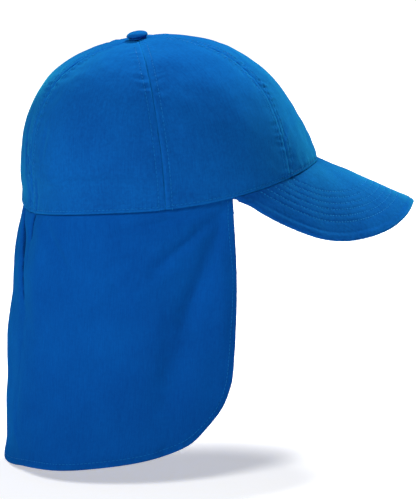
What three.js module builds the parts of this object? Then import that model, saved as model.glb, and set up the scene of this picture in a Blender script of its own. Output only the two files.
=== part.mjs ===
// Legionnaire cap: a five-panel cloth crown with a top button, a curved peak and a long
// neck flap. Millimetres, +Z up, the peak points to -Y and the wearer's right is -X.
// The origin is the centre of the head opening, on the plane of the crown's rim.
import * as THREE from 'three';

// Cloth walls and the gaps between sewn pieces
const CROWN_WALL = 1.4;
const FLAP_WALL = 1.2;
const PEAK_WALL = 2.8;
const SEAM_GAP = 0.3;
const TUCK_GAP = 0.6;

// Crown: rim half length and half width, height over the rim plane, apex behind the
// origin, and how far the rim is tipped back so that the flap hangs straight down
const RIM_HALF_LENGTH = 100;
const RIM_HALF_WIDTH = 87;
const CROWN_HEIGHT = 97;
const APEX_BACK = 8.7;
const TIP_BACK = 8.8;

// Crown cloth: how far a panel puffs out between its seams, and the shallow groove where
// the wall is drawn in over the rim seam, from the temples round the back
const PANEL_PUFF = 1.2;
const GROOVE_DEPTH = 0.8;
const GROOVE_HEIGHT = 9;
const GROOVE_WIDTH = 6;
const GROOVE_FROM = 60;
const GROOVE_FULL = 105;
const HOLE_CLIMB = 88;

// Crown rows from rim to apex: climb in degrees, then the reach to the front, to the back
// and to the side as shares of an ellipse drawn through rim and apex
const CROWN_ROWS = [
  { climb: 0, front: 1.0, back: 1.0, side: 1.0 },
  { climb: 10, front: 0.971, back: 0.988, side: 1.012 },
  { climb: 20, front: 0.955, back: 1.004, side: 1.032 },
  { climb: 30, front: 0.958, back: 1.038, side: 1.062 },
  { climb: 40, front: 0.972, back: 1.086, side: 1.099 },
  { climb: 50, front: 0.984, back: 1.15, side: 1.144 },
  { climb: 60, front: 0.994, back: 1.245, side: 1.201 },
  { climb: 70, front: 0.998, back: 1.358, side: 1.276 },
  { climb: 80, front: 1.008, back: 1.49, side: 1.372 },
  { climb: 90, front: 1.021, back: 1.637, side: 1.487 },
];
const CLIMB_STEPS = [0, 3, 6.5, 11, 17, 24, 32, 40, 48, 56, 64, 71, 77, 82, HOLE_CLIMB];

// Rim lift: how far the rim seam rises over the rim plane at most, then its share of that
// by heading from the front
const RIM_LIFT = 3.2;
const RIM_LIFTS = [
  { heading: 0, lift: -0.81 },
  { heading: 15, lift: -0.63 },
  { heading: 35, lift: 0 },
  { heading: 85, lift: 0 },
  { heading: 112, lift: 0.41 },
  { heading: 135, lift: 1.0 },
  { heading: 155, lift: 0.88 },
  { heading: 180, lift: 0.13 },
];

// Seams between panels on one side: heading at the rim and at the apex, front to back
const SIDE_SEAMS = [
  { rim: 55.3, apex: 32.6 },
  { rim: 110.5, apex: 106 },
  { rim: 180, apex: 180 },
];
const PANELS = [
  { name: 'crown_back_panel_left', columns: 14 },
  { name: 'crown_side_panel_left', columns: 12 },
  { name: 'crown_front_panel', columns: 22 },
  { name: 'crown_side_panel_right', columns: 12 },
  { name: 'crown_back_panel_right', columns: 14 },
];

// Button: flat dome on a collar of gathered cloth, shank through the hole, and a small
// disc inside the crown
const BUTTON_RADIUS = 7;
const DOME_HEIGHT = 4;
const COLLAR_RADIUS = 4.4;
const COLLAR_HEIGHT = 0.8;
const SHANK_RADIUS = 1.6;
const DISC_RADIUS = 4.5;
const DISC_HEIGHT = 1.2;
const BUTTON_SIDES = 28;

// Peak: how far its edge reaches before the origin, to the side and below the origin,
// the tab tucked under the rim, how far its cloth bows up between rim and edge where it
// reaches out this far or more, and how much higher its left side sits, and where
const PEAK_REACH = 168;
const PEAK_HALF_WIDTH = 90;
const PEAK_DROP = 32.5;
const PEAK_TAB = 2.4;
const PEAK_BOW = 0.4;
const PEAK_BOW_REACH = 40;
const PEAK_LEFT_RAISE = 4.1;
const PEAK_LEFT_HEADING = -50;
const PEAK_LEFT_WIDTH = 16;
const PEAK_END = 82.1;
const PEAK_COLUMNS = 40;
const PEAK_STEPS = [0, 0.08, 0.22, 0.4, 0.6, 0.8, 0.94, 1];

// Peak edge stations: heading of the rim point that each one belongs to, then the edge
// point as shares of the reach, the half width and the drop
const PEAK_STATIONS = [
  { heading: 0, reach: 1.0, side: 0.0, drop: 0.57 },
  { heading: 12, reach: 0.983, side: 0.33, drop: 0.575 },
  { heading: 18, reach: 0.94, side: 0.478, drop: 0.6 },
  { heading: 24, reach: 0.873, side: 0.622, drop: 0.73 },
  { heading: 30, reach: 0.784, side: 0.739, drop: 0.885 },
  { heading: 38, reach: 0.675, side: 0.833, drop: 0.985 },
  { heading: 45, reach: 0.579, side: 0.889, drop: 1.02 },
  { heading: 53, reach: 0.488, side: 0.933, drop: 0.99 },
  { heading: 59, reach: 0.399, side: 0.967, drop: 0.89 },
  { heading: 65, reach: 0.31, side: 0.985, drop: 0.72 },
  { heading: 70, reach: 0.223, side: 0.995, drop: 0.51 },
  { heading: 74.5, reach: 0.15, side: 0.998, drop: 0.3 },
  { heading: 78, reach: 0.1, side: 0.99, drop: 0.15 },
  { heading: 82.1, reach: 0.042, side: 0.97, drop: 0.03 },
];

// Flap: level of its hem below the origin, height tucked up inside the crown, heading of
// its front edge, how far the hem stands off behind and how soon it does (a power of the
// share hung), how far and over what width its front edges bow forward, at which power of
// the share hung and to which share of a half wave, where its left back corner hangs lower,
// and the deepest fold
const FLAP_HEM = 181;
const FLAP_TUCK = 8;
const FLAP_START = 82.6;
const FLAP_FLARE = 15.5;
const FLARE_CURVE = 0.62;
const FRONT_BOW = 3;
const FRONT_BOW_WIDTH = 9;
const FRONT_BOW_POWER = 1.3;
const FRONT_BOW_SHARE = 0.8;
const HEM_DIP = 5.5;
const HEM_DIP_HEADING = -166;
const HEM_DIP_WIDTH = 18;
const FOLD_DEPTH = 5;
const FLAP_COLUMNS = 60;
const FLAP_STEPS = [0, 0.03, 0.08, 0.14, 0.2, 0.27, 0.34, 0.42, 0.5, 0.58, 0.66, 0.74, 0.82, 0.89, 0.95, 1];

// Flap stations: heading, level of the hem and stand-off as shares of the sizes above
const FLAP_STATIONS = [
  { heading: 82.6, level: 0.49, flare: 0.0 },
  { heading: 83.4, level: 0.62, flare: 0.0 },
  { heading: 85, level: 0.69, flare: 0.0 },
  { heading: 88, level: 0.755, flare: 0.0 },
  { heading: 92, level: 0.802, flare: 0.0 },
  { heading: 99, level: 0.86, flare: 0.05 },
  { heading: 106, level: 0.89, flare: 0.12 },
  { heading: 118, level: 0.92, flare: 0.25 },
  { heading: 134, level: 0.945, flare: 0.5 },
  { heading: 152, level: 0.968, flare: 0.85 },
  { heading: 165, level: 0.975, flare: 1.0 },
  { heading: 180, level: 0.98, flare: 1.0 },
];

// Flap folds: heading at the top and at the bottom, where each runs as shares of the
// hanging length, half width in degrees, depth as a share of the deepest (minus: valley)
const FLAP_FOLDS = [
  { top: -166, bottom: -181, from: -0.06, to: 0.44, width: 4, depth: -0.7 },
  { top: -152, bottom: -166, from: -0.1, to: 0.9, width: 8, depth: 0.3 },
  { top: -179.5, bottom: -177.5, from: -0.08, to: 0.16, width: 3.5, depth: -0.5 },
  { top: 169, bottom: 146, from: 0.02, to: 0.29, width: 4, depth: -0.28 },
  { top: 171, bottom: 168, from: 0.04, to: 0.46, width: 5.5, depth: 0.32 },
  { top: 86, bottom: 103, from: 0.05, to: 0.56, width: 4.2, depth: -0.4 },
  { top: 96, bottom: 112, from: 0.27, to: 0.84, width: 8, depth: -0.6 },
  { top: -88, bottom: -106, from: 0.08, to: 0.57, width: 5.5, depth: -0.44 },
  { top: -92, bottom: -120, from: 0.02, to: 1.0, width: 8, depth: -0.8 },
  { top: -110, bottom: -136, from: 0.1, to: 1.2, width: 9, depth: 0.5 },
  { top: -150, bottom: -132, from: 0.0, to: 0.6, width: 7, depth: -0.6 },
];

const rad = THREE.MathUtils.degToRad;
const deg = THREE.MathUtils.radToDeg;
const { clamp, lerp, smoothstep } = THREE.MathUtils;

// Smooth value of one column of a table at a key
function tableValue(rows, key, column, at) {
  const last = rows.length - 1;
  let i = 0;
  while (i < last - 1 && at > rows[i + 1][key]) i += 1;
  const slope = (k) => {
    const lo = rows[Math.max(0, k - 1)];
    const hi = rows[Math.min(last, k + 1)];
    return (hi[column] - lo[column]) / (hi[key] - lo[key]);
  };
  const a = rows[i];
  const b = rows[i + 1];
  const span = b[key] - a[key];
  const t = clamp((at - a[key]) / span, 0, 1);
  const rise = t * t * (3 - 2 * t);
  return a[column] * (1 - rise) + b[column] * rise
    + t * (1 - t) * (1 - t) * span * slope(i) - t * t * (1 - t) * span * slope(i + 1);
}

// Point from forward, right and up distances on the level rim, tipped back with the crown
function tipped(forward, right, up) {
  const c = Math.cos(rad(TIP_BACK));
  const s = Math.sin(rad(TIP_BACK));
  return new THREE.Vector3(-right, up * s - forward * c, forward * s + up * c);
}

// Seams right round the cap, from the back over its left side, front and right side
const leftSeams = SIDE_SEAMS.map(({ rim, apex }) => ({ rim: -rim, apex: -apex })).reverse();
const SEAMS = [...leftSeams, ...SIDE_SEAMS];

function seamHeading(seam, climb) {
  return lerp(seam.rim, seam.apex, climb / 90);
}

// How far the cloth stands out at a heading: puffed between seams, drawn in over the rim
function crownSwell(heading, climb) {
  let i = 0;
  while (i < PANELS.length - 1 && heading > seamHeading(SEAMS[i + 1], climb)) i += 1;
  const from = seamHeading(SEAMS[i], climb);
  const to = seamHeading(SEAMS[i + 1], climb);
  const across = clamp((heading - from) / (to - from), 0, 1);
  const puff = PANEL_PUFF * (Math.sin(Math.PI * across) ** 0.7 - 0.5) * Math.cos(rad(climb)) ** 0.4;
  const up = CROWN_HEIGHT * Math.sin(rad(climb));
  const groove = GROOVE_DEPTH * smoothstep(Math.abs(heading), GROOVE_FROM, GROOVE_FULL);
  return puff - groove * Math.exp(-(((up - GROOVE_HEIGHT) / GROOVE_WIDTH) ** 2));
}

// Crown surface at a heading and climb, moved out by extra millimetres
function crownPoint(heading, climb, extra) {
  const h = rad(heading);
  const c = rad(climb);
  const swell = crownSwell(heading, climb) + extra;
  const front = Math.cos(h) > 0;
  const length = front ? RIM_HALF_LENGTH + APEX_BACK : RIM_HALF_LENGTH - APEX_BACK;
  const reach = length * tableValue(CROWN_ROWS, 'climb', front ? 'front' : 'back', climb) + swell;
  const side = RIM_HALF_WIDTH * tableValue(CROWN_ROWS, 'climb', 'side', climb) + swell;
  return tipped(
    reach * Math.cos(c) * Math.cos(h) - APEX_BACK,
    side * Math.cos(c) * Math.sin(h),
    (CROWN_HEIGHT + swell) * Math.sin(c),
  );
}

// Climb of the rim seam at a heading
function rimClimb(heading) {
  const lift = RIM_LIFT * tableValue(RIM_LIFTS, 'heading', 'lift', Math.abs(heading));
  return deg(Math.asin(lift / CROWN_HEIGHT));
}

// Closed cloth piece from a grid of points on its outer side
function clothPiece(name, grid, wall, material) {
  const rows = grid.length;
  const cols = grid[0].length;
  const positions = [];
  for (const depth of [0, wall]) {
    for (let i = 0; i < rows; i += 1) {
      for (let j = 0; j < cols; j += 1) {
        const along = grid[i][Math.min(cols - 1, j + 1)].clone().sub(grid[i][Math.max(0, j - 1)]);
        const up = grid[Math.min(rows - 1, i + 1)][j].clone().sub(grid[Math.max(0, i - 1)][j]);
        const inward = up.cross(along).normalize();
        positions.push(...grid[i][j].clone().addScaledVector(inward, depth));
      }
    }
  }
  const index = [];
  const quad = (a, b, c, d) => index.push(a, b, c, a, c, d);
  const outer = (i, j) => i * cols + j;
  const inner = (i, j) => (rows + i) * cols + j;
  for (let i = 0; i < rows - 1; i += 1) {
    for (let j = 0; j < cols - 1; j += 1) {
      quad(outer(i, j), outer(i, j + 1), outer(i + 1, j + 1), outer(i + 1, j));
      quad(inner(i, j), inner(i + 1, j), inner(i + 1, j + 1), inner(i, j + 1));
    }
    quad(outer(i, 0), outer(i + 1, 0), inner(i + 1, 0), inner(i, 0));
    quad(outer(i + 1, cols - 1), outer(i, cols - 1), inner(i, cols - 1), inner(i + 1, cols - 1));
  }
  for (let j = 0; j < cols - 1; j += 1) {
    quad(outer(0, j + 1), outer(0, j), inner(0, j), inner(0, j + 1));
    quad(outer(rows - 1, j), outer(rows - 1, j + 1), inner(rows - 1, j + 1), inner(rows - 1, j));
  }
  const geometry = new THREE.BufferGeometry();
  geometry.setAttribute('position', new THREE.Float32BufferAttribute(positions, 3));
  geometry.setIndex(index);
  geometry.computeVertexNormals();
  const mesh = new THREE.Mesh(geometry, material);
  mesh.name = name;
  return mesh;
}

const crownCloth = new THREE.MeshStandardMaterial({ color: 0x0d529c, roughness: 0.85, metalness: 0 });
const peakCloth = new THREE.MeshStandardMaterial({ color: 0x12579f, roughness: 0.85, metalness: 0 });
const flapCloth = new THREE.MeshStandardMaterial({ color: 0x0a4a98, roughness: 0.85, metalness: 0 });
const cap = new THREE.Group();
cap.name = 'legionnaire_cap';

// Crown panels: each stops half a seam gap short of the seams on its two sides
PANELS.forEach((panel, i) => {
  const grid = CLIMB_STEPS.map((step) => {
    const row = [];
    for (let j = panel.columns; j >= 0; j -= 1) {
      const across = j / panel.columns;
      const rough = lerp(SEAMS[i].rim, SEAMS[i + 1].rim, across);
      const climb = lerp(rimClimb(rough), 90, step / 90);
      const radius = RIM_HALF_WIDTH * Math.cos(rad(climb));
      const half = deg(SEAM_GAP / 2 / radius);
      const from = seamHeading(SEAMS[i], climb) + half;
      const to = seamHeading(SEAMS[i + 1], climb) - half;
      row.push(crownPoint(lerp(from, to, across), climb, 0));
    }
    return row;
  });
  cap.add(clothPiece(panel.name, grid, CROWN_WALL, crownCloth));
});

// Button: one turned profile, set square to the tipped crown
const seat = tipped(-APEX_BACK, 0, CROWN_HEIGHT + SEAM_GAP);
const discTop = -CROWN_WALL - 2 * TUCK_GAP - SEAM_GAP;
const profile = [new THREE.Vector2(0, discTop - DISC_HEIGHT)];
profile.push(new THREE.Vector2(DISC_RADIUS * 0.85, discTop - DISC_HEIGHT));
profile.push(new THREE.Vector2(DISC_RADIUS, discTop - DISC_HEIGHT * 0.5));
profile.push(new THREE.Vector2(DISC_RADIUS * 0.9, discTop));
profile.push(new THREE.Vector2(SHANK_RADIUS, discTop));
profile.push(new THREE.Vector2(SHANK_RADIUS, 0));
profile.push(new THREE.Vector2(COLLAR_RADIUS, 0));
profile.push(new THREE.Vector2(COLLAR_RADIUS, COLLAR_HEIGHT));
profile.push(new THREE.Vector2(BUTTON_RADIUS * 0.85, COLLAR_HEIGHT));
for (let k = 0; k <= 8; k += 1) {
  const a = (k / 8) * (Math.PI / 2);
  const radius = k === 8 ? 0 : BUTTON_RADIUS * Math.cos(a) ** 0.6;
  profile.push(new THREE.Vector2(radius, COLLAR_HEIGHT + DOME_HEIGHT * (0.3 + 0.7 * Math.sin(a))));
}
const button = new THREE.Mesh(new THREE.LatheGeometry(profile, BUTTON_SIDES), crownCloth);
button.name = 'top_button';
button.rotation.x = Math.PI / 2 - rad(TIP_BACK);
button.position.copy(seat);
cap.add(button);

// Peak: ruled from the rim to its edge, with a tab tucked under the crown wall
const peakGrid = [[]];
PEAK_STEPS.forEach(() => peakGrid.push([]));
for (let j = 0; j <= PEAK_COLUMNS; j += 1) {
  const heading = lerp(PEAK_END, -PEAK_END, j / PEAK_COLUMNS);
  const station = (column) => tableValue(PEAK_STATIONS, 'heading', column, Math.abs(heading));
  const rim = crownPoint(heading, rimClimb(heading), 0);
  rim.z -= SEAM_GAP;
  const edge = new THREE.Vector3(
    -Math.sign(heading) * PEAK_HALF_WIDTH * station('side'),
    -PEAK_REACH * station('reach'),
    -PEAK_DROP * station('drop'),
  );
  edge.z += PEAK_LEFT_RAISE * Math.exp(-(((heading - PEAK_LEFT_HEADING) / PEAK_LEFT_WIDTH) ** 2));
  const tab = crownPoint(heading, rimClimb(heading), -PEAK_TAB);
  tab.z -= SEAM_GAP;
  peakGrid[0].push(tab);
  PEAK_STEPS.forEach((step, i) => {
    const p = rim.clone().lerp(edge, step);
    p.z += PEAK_BOW * Math.sin(Math.PI * step) * Math.min(1, rim.distanceTo(edge) / PEAK_BOW_REACH);
    peakGrid[i + 1].push(p);
  });
}
cap.add(clothPiece('peak', peakGrid.reverse(), PEAK_WALL, peakCloth));

// Turn from one heading to another, the short way round
function headingGap(heading, from) {
  const gap = heading - from;
  return gap - 360 * Math.round(gap / 360);
}

// Flap: tucked up inside the crown, then hanging from the rim with its folds
function flapFold(heading, down) {
  let depth = 0;
  for (const fold of FLAP_FOLDS) {
    const t = (down - fold.from) / (fold.to - fold.from);
    if (t > 0 && t < 1) {
      const off = headingGap(heading, lerp(fold.top, fold.bottom, t));
      const along = Math.sin(Math.PI * t) ** 0.8;
      depth += FOLD_DEPTH * fold.depth * along * Math.exp(-((off / fold.width) ** 2));
    }
  }
  return depth;
}

const flapGrid = [[]];
FLAP_STEPS.forEach(() => flapGrid.push([]));
for (let j = 0; j <= FLAP_COLUMNS; j += 1) {
  const t = (2 * j) / FLAP_COLUMNS - 1;
  const turn = lerp(FLAP_START, 180, (1 - Math.abs(t)) ** 1.25);
  const heading = t < 0 ? -turn : turn;
  const station = (column) => tableValue(FLAP_STATIONS, 'heading', column, turn);
  const inside = -CROWN_WALL - TUCK_GAP;
  const climb = rimClimb(heading);
  flapGrid[0].push(crownPoint(heading, climb + deg(FLAP_TUCK / CROWN_HEIGHT), inside));
  const top = crownPoint(heading, climb, inside);
  const out = new THREE.Vector3(top.x, top.y, 0).normalize();
  const bow = FRONT_BOW * Math.exp(-(((turn - FLAP_START) / FRONT_BOW_WIDTH) ** 2));
  const dip = HEM_DIP * Math.exp(-((headingGap(heading, HEM_DIP_HEADING) / HEM_DIP_WIDTH) ** 2));
  FLAP_STEPS.forEach((step, i) => {
    const free = smoothstep(step, 0, 0.12);
    const stand = FLAP_FLARE * station('flare') * step ** FLARE_CURVE + flapFold(heading, step) * free;
    const p = top.clone().addScaledVector(out, stand);
    p.y -= bow * Math.sin(Math.PI * FRONT_BOW_SHARE * step ** FRONT_BOW_POWER) ** 0.7;
    p.z = lerp(top.z, -FLAP_HEM * station('level') - dip, step);
    flapGrid[i + 1].push(p);
  });
}
cap.add(clothPiece('neck_flap', flapGrid.reverse(), FLAP_WALL, flapCloth));

export default cap;
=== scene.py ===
import math

import bpy
import numpy as np
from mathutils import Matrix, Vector


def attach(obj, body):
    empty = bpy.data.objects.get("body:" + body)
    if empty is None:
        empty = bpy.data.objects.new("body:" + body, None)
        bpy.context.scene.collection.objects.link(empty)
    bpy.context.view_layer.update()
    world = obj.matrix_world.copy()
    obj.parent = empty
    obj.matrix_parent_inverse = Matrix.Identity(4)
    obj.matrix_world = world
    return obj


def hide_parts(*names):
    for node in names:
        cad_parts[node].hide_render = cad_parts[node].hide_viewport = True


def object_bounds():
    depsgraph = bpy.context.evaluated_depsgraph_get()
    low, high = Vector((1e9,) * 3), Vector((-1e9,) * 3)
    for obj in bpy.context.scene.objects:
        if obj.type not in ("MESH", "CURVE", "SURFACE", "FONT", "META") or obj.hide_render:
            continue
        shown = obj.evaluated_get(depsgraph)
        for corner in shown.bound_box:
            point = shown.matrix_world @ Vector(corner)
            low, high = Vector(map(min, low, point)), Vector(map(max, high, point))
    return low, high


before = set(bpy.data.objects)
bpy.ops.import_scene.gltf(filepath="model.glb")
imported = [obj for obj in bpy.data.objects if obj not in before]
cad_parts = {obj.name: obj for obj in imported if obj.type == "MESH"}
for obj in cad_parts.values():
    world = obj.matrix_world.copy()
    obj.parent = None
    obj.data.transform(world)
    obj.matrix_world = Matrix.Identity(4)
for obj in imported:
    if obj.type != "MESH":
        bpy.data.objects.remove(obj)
cad_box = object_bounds()

# Crown panels
# Five panels of cotton twill, sewn edge to edge into a dome. The seam allowances are
# pressed open inside under a tape, and the bottom edge is turned up and stitched.
mm = 0.001
RIM_HALF_LENGTH = 100 * mm
RIM_HALF_WIDTH = 87 * mm
CROWN_HEIGHT = 97 * mm
APEX_BACK = 8.7 * mm
TIP_BACK = math.radians(8.8)
CROWN_WALL = 1.4 * mm
PANEL_PUFF = 1.2 * mm
GROOVE_DEPTH = 0.8 * mm
GROOVE_HEIGHT = 9 * mm
GROOVE_WIDTH = 6 * mm
GROOVE_FROM = 60
GROOVE_FULL = 105
HOLE_CLIMB = 88
RIM_LIFT = 3.2 * mm

# Reach of the crown to the front, back and side as shares of an ellipse, by climb
CROWN_ROWS = {
    "climb": [0, 10, 20, 30, 40, 50, 60, 70, 80, 90],
    "front": [1.0, 0.971, 0.955, 0.958, 0.972, 0.984, 0.994, 0.998, 1.008, 1.021],
    "back": [1.0, 0.988, 1.004, 1.038, 1.086, 1.15, 1.245, 1.358, 1.49, 1.637],
    "side": [1.0, 1.012, 1.032, 1.062, 1.099, 1.144, 1.201, 1.276, 1.372, 1.487],
}
RIM_LIFTS = {
    "heading": [0, 15, 35, 85, 112, 135, 155, 180],
    "lift": [-0.81, -0.63, 0, 0, 0.41, 1.0, 0.88, 0.13],
}

# Seams: heading at the rim and at the apex, from the back round the left side
SEAMS = [(-180, -180), (-110.5, -106), (-55.3, -32.6), (55.3, 32.6), (110.5, 106), (180, 180)]
PANELS = [
    "crown_back_panel_left",
    "crown_side_panel_left",
    "crown_front_panel",
    "crown_side_panel_right",
    "crown_back_panel_right",
]

SEAM_STITCH = 4.2 * mm
ALLOWANCE = 6 * mm
RIM_STITCH = 2.3 * mm
RIM_TURN = 6 * mm
TAPE_HALF = 6.5 * mm
HEADING_MM = 1.65 * mm
RIM_MEAN_RADIUS = 92 * mm
CREASE_STRENGTH = 1.9
ALLOWANCE_RELIEF = 0.20 * mm
SEAM_STITCH_PULL = 0.22 * mm
PUCKER_PITCH = 6.4 * mm
PUCKER_DEPTH = 0.38 * mm
RIM_TURN_RELIEF = 0.12 * mm
RIM_STITCH_PULL = 0.24 * mm
RIM_TUCK_PITCH = 5.6 * mm
RIM_TUCK_DEPTH = 0.13 * mm
LUMP_HEIGHT = 0.28 * mm
LUMP_SIZE = 34 * mm
CRUMPLE_HEIGHT = 0.12 * mm
CRUMPLE_SIZE = 11 * mm
PUCKER_PATCH = 22 * mm
TAPE_THICKNESS = 0.45 * mm
PANEL_ROW_STEP = 1.25 * mm
PANEL_COLUMN_STEP = 1.35 * mm
SPINE_STEPS = 400
ACROSS_STEPS = 241
NARROW_HALF = 12 * mm
COLUMNS_AT_SEAMS = 12
WAVE_COUNT = 14

# Creases: heading and rise (mm) where each starts and ends, half width and depth (mm)
CROWN_CREASES = [
    (117, 27, 170, 29, 4.0, -0.32),
    (115, 19, 172, 21, 4.5, 0.40),
    (114, 12, 174, 13, 2.4, -0.34),
    (113, 8, 160, 8.5, 2.0, 0.25),
    (113, 23.6, 171, 24.8, 1.2, -0.22),
    (112, 17, 172, 17.6, 1.1, -0.24),
    (112, 9.4, 172, 9.8, 1.1, -0.24),
    (112, 4.6, 140, 4.8, 1.0, -0.28),
    (106, 15, 62, 13, 5.0, 0.35),
    (104, 21, 74, 24, 4.0, -0.35),
    (106, 9, 80, 8, 2.2, -0.35),
    (109, 44, 99, 46, 1.8, -0.35),
    (109, 50, 98, 51, 1.8, -0.30),
    (109, 56, 100, 56, 1.8, -0.30),
    (176, 0, 174, 24, 1.5, -0.35),
    (170, 26, 168, 62, 2.4, -0.30),
    (-178, 2, -175, 27, 1.8, -0.60),
    (-174, 20, -170, 46, 2.2, -0.80),
    (-178, 24, -175, 38, 1.6, -0.50),
    (-171, 40, -170, 60, 1.8, -0.30),
    (179, 4, 180, 30, 1.2, -0.25),
    (-117, 24, -138, 26, 4.5, -0.40),
    (-114, 13, -140, 15, 3.0, -0.40),
    (-106, 12, -70, 14, 4.5, -0.35),
    (-106, 22, -84, 25, 3.5, 0.30),
    (-109, 47, -98, 48, 1.8, -0.30),
    (20, 6, -24, 7, 3.0, 0.20),
]


def follow(table, key, column, at):
    """Smooth value of a table's column where its key is this."""
    keys = np.array(table[key], float)
    values = np.array(table[column], float)
    before = np.maximum(np.arange(len(keys)) - 1, 0)
    after = np.minimum(np.arange(len(keys)) + 1, len(keys) - 1)
    slope = (values[after] - values[before]) / (keys[after] - keys[before])
    i = np.clip(np.searchsorted(keys, at) - 1, 0, len(keys) - 2)
    span = keys[i + 1] - keys[i]
    t = np.clip((at - keys[i]) / span, 0, 1)
    rise = t * t * (3 - 2 * t)
    bend = t * (1 - t) * span * ((1 - t) * slope[i] - t * slope[i + 1])
    return values[i] * (1 - rise) + values[i + 1] * rise + bend


def fade(x, start, full):
    t = np.clip((x - start) / (full - start), 0, 1)
    return t * t * (3 - 2 * t)


def bump(x, middle, width):
    return np.exp(-(((x - middle) / width) ** 2))


def waves(along, pitch, wander):
    """Ripples of this pitch, whose phase wanders."""
    return np.sin(along * (2 * np.pi / pitch) + wander)


def turn(heading, start):
    """Degrees from one heading to another, the short way round."""
    gap = heading - start
    return gap - 360 * np.round(gap / 360)


def tipped(forward, right, up):
    c, s = math.cos(TIP_BACK), math.sin(TIP_BACK)
    return np.stack([-right, up * s - forward * c, forward * s + up * c], axis=-1)


def seam_heading(seam, climb):
    return seam[0] + (seam[1] - seam[0]) * climb / 90


def crown_swell(heading, climb):
    swell = np.zeros(np.broadcast(heading, climb).shape)
    for left, right in zip(SEAMS, SEAMS[1:]):
        start = seam_heading(left, climb)
        across = (heading - start) / (seam_heading(right, climb) - start)
        dome = np.sin(np.pi * np.clip(across, 0, 1)) ** 0.7 - 0.5
        puff = PANEL_PUFF * dome * np.cos(np.radians(climb)) ** 0.4
        swell = np.where((across >= 0) & (across <= 1), puff, swell)
    groove = GROOVE_DEPTH * fade(np.abs(heading), GROOVE_FROM, GROOVE_FULL)
    height = CROWN_HEIGHT * np.sin(np.radians(climb))
    return swell - groove * bump(height, GROOVE_HEIGHT, GROOVE_WIDTH)


def crown_point(heading, climb, extra, puffed=1):
    h, c = np.radians(heading), np.radians(climb)
    swell = crown_swell(heading, climb) * puffed + extra
    front = np.cos(h) > 0
    reach = np.where(
        front,
        (RIM_HALF_LENGTH + APEX_BACK) * follow(CROWN_ROWS, "climb", "front", climb),
        (RIM_HALF_LENGTH - APEX_BACK) * follow(CROWN_ROWS, "climb", "back", climb),
    )
    side = RIM_HALF_WIDTH * follow(CROWN_ROWS, "climb", "side", climb) + swell
    return tipped(
        (reach + swell) * np.cos(c) * np.cos(h) - APEX_BACK,
        side * np.cos(c) * np.sin(h),
        (CROWN_HEIGHT + swell) * np.sin(c),
    )


def crown_outward(heading, climb):
    """Normals of the crown without its panels' puff, so that they agree at a seam."""
    across = crown_point(heading + 0.5, climb, 0, 0) - crown_point(heading - 0.5, climb, 0, 0)
    up = crown_point(heading, climb + 0.5, 0, 0) - crown_point(heading, climb - 0.5, 0, 0)
    normal = np.cross(up, across)
    return normal / np.linalg.norm(normal, axis=-1, keepdims=True)


def rim_climb(heading):
    lift = RIM_LIFT * follow(RIM_LIFTS, "heading", "lift", np.abs(heading))
    return np.degrees(np.arcsin(lift / CROWN_HEIGHT))


def run(points, axis):
    """Length run along each line of a grid, from its first point."""
    steps = np.linalg.norm(np.diff(points, axis=axis), axis=-1)
    zero = np.zeros_like(steps.take([0], axis=axis))
    return np.concatenate([zero, np.cumsum(steps, axis=axis)], axis=axis)


def unevenness(points, size, seed):
    """Soft lumps about this size, about -1 to 1, the same on every run."""
    draw = np.random.default_rng(seed)
    ways = draw.normal(size=(WAVE_COUNT, 3))
    ways *= draw.uniform(0.6, 1.4, (WAVE_COUNT, 1)) / np.linalg.norm(ways, axis=1, keepdims=True)
    phases = draw.uniform(0, 2 * np.pi, WAVE_COUNT)
    heights = np.sin(points @ ways.T * (2 * np.pi / size) + phases)
    return heights.sum(-1) / math.sqrt(WAVE_COUNT)


def creases(table, heading, rise):
    depth = np.zeros(heading.shape)
    for start, low, end, high, width, deep in table:
        x = turn(heading, start) * HEADING_MM
        y = rise - low * mm
        ex, ey = turn(end, start) * HEADING_MM, (high - low) * mm
        t = np.clip((x * ex + y * ey) / (ex * ex + ey * ey), 0, 1)
        off = np.hypot(x - t * ex, y - t * ey)
        depth += deep * mm * bump(off, 0, width * mm) * np.sin(np.pi * t) ** 0.5
    return depth


def painted_crease_shade(pressed):
    """Painted shade in a pressed crease: how much darker the cloth is painted where the crease is deeper
    than about 0.7 mm.
    """
    return 4 * fade(-pressed, 0.7 * mm, 1.6 * mm)


def outward(surface):
    """Normals of a grid whose rows go up and whose columns go round to the left."""
    normal = np.cross(np.gradient(surface, axis=1), np.gradient(surface, axis=0))
    return normal / np.linalg.norm(normal, axis=-1, keepdims=True)


def rounded(distance, wall, square=2):
    """Half of a wall's thickness this far from its turned edge, 2 for a round edge."""
    near = np.clip(distance / (0.5 * wall), 0, 1)
    return 0.5 * wall * (1 - (1 - near) ** square) ** (1 / square)


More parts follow.
